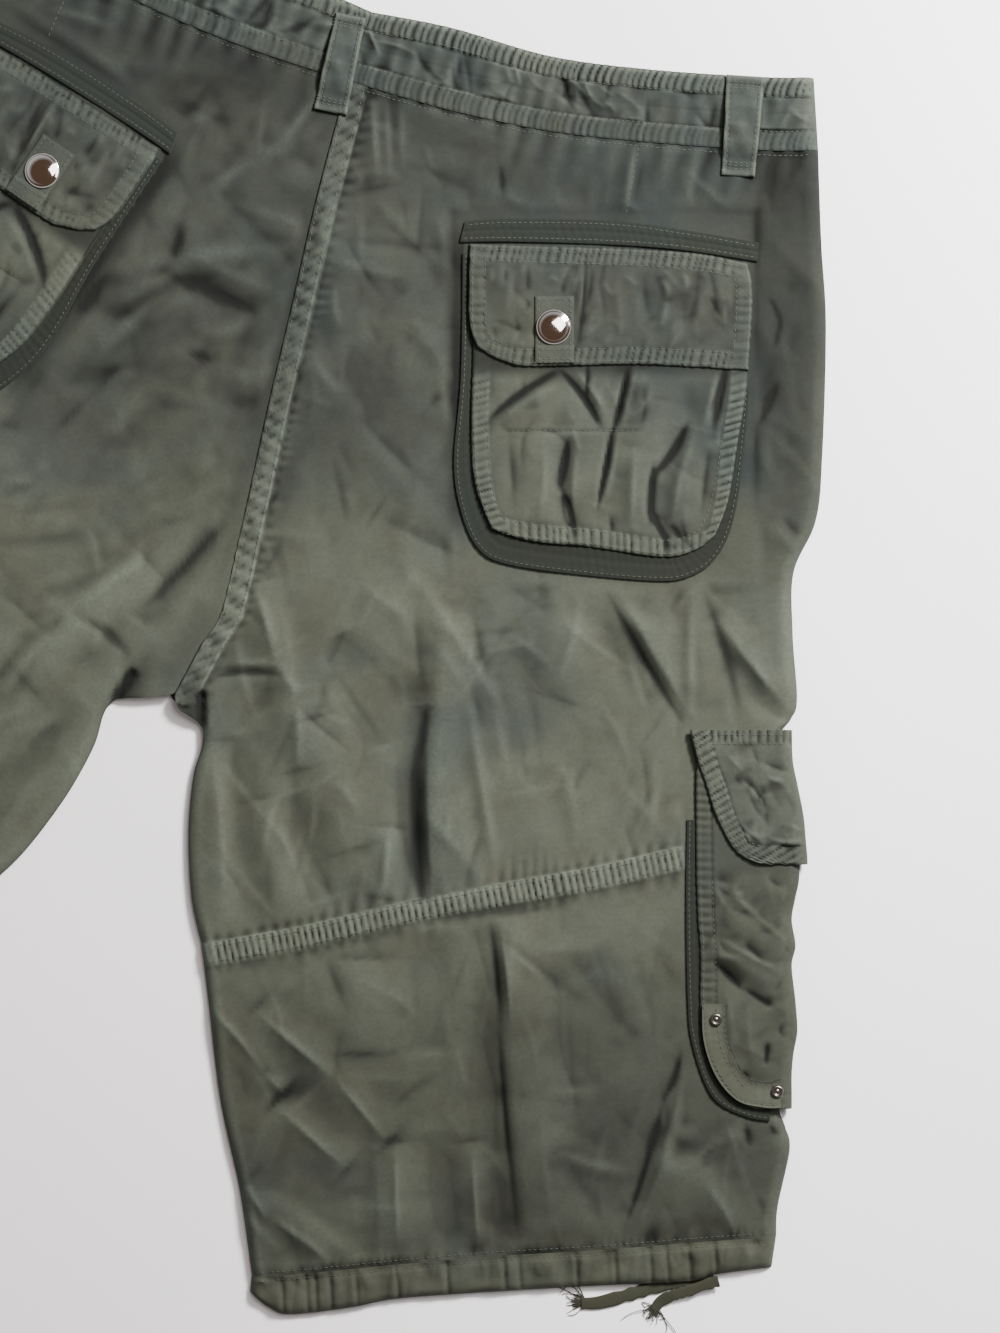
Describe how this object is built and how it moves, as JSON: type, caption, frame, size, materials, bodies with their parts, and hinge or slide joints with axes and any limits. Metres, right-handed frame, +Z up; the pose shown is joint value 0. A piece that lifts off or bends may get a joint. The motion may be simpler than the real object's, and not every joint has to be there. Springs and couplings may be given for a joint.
{
  "type": "cargo shorts",
  "caption": "Long cotton twill cargo shorts laid flat, back up, with snapped flap pockets, belt loops, a gathered waistband and drawcord hems.",
  "frame": {"origin": "middle of the garment's box on the surface that it lies on", "axes": "+X across the waist towards the right leg, +Y from the crotch to the waist, +Z up from the surface, out of the back"},
  "size_m": [0.811, 0.7239, 0.0174],
  "materials": {
    "twill": "garment-dyed cotton twill, matte, puckered at the seams",
    "tape": "darker, smoother cotton tape, matte",
    "cord": "flat woven cotton cord with frayed ends",
    "snap_metal": "bright plated steel, lightly worn",
    "button": "dull dark resin"
  },
  "bodies": {
    "root": {"back_upper_right": "twill", "back_lower_right": "twill", "hem_back_right": "twill", "waistband_back_right": "twill", "front_right": "twill", "hem_front_right": "twill", "waistband_front_right": "twill", "pocket_top_tape_right": "tape", "pocket_gusset_right": "tape", "pocket_body_right": "twill", "pocket_flap_right": "twill", "pocket_snap_tab_right": "twill", "pocket_snap_right": "snap_metal", "side_gusset_right": "tape", "side_pocket_right": "twill", "side_flap_right": "twill", "side_corner_strap_right": "twill", "side_snap_upper_right": "snap_metal", "side_snap_lower_right": "snap_metal", "belt_loop_right": "twill", "drawcord_long_right": "cord", "drawcord_short_right": "cord", "back_upper_left": "twill", "back_lower_left": "twill", "hem_back_left": "twill", "waistband_back_left": "twill", "front_left": "twill", "hem_front_left": "twill", "waistband_front_left": "twill", "pocket_top_tape_left": "tape", "pocket_gusset_left": "tape", "pocket_body_left": "twill", "pocket_flap_left": "twill", "pocket_snap_tab_left": "twill", "pocket_snap_left": "snap_metal", "side_gusset_left": "tape", "side_pocket_left": "twill", "side_flap_left": "twill", "side_corner_strap_left": "twill", "side_snap_upper_left": "snap_metal", "side_snap_lower_left": "snap_metal", "belt_loop_left": "twill", "drawcord_long_left": "cord", "drawcord_short_left": "cord", "belt_loop_centre": "twill", "fly_placket": "twill", "waist_button": "button"}
  },
  "joints": []
}
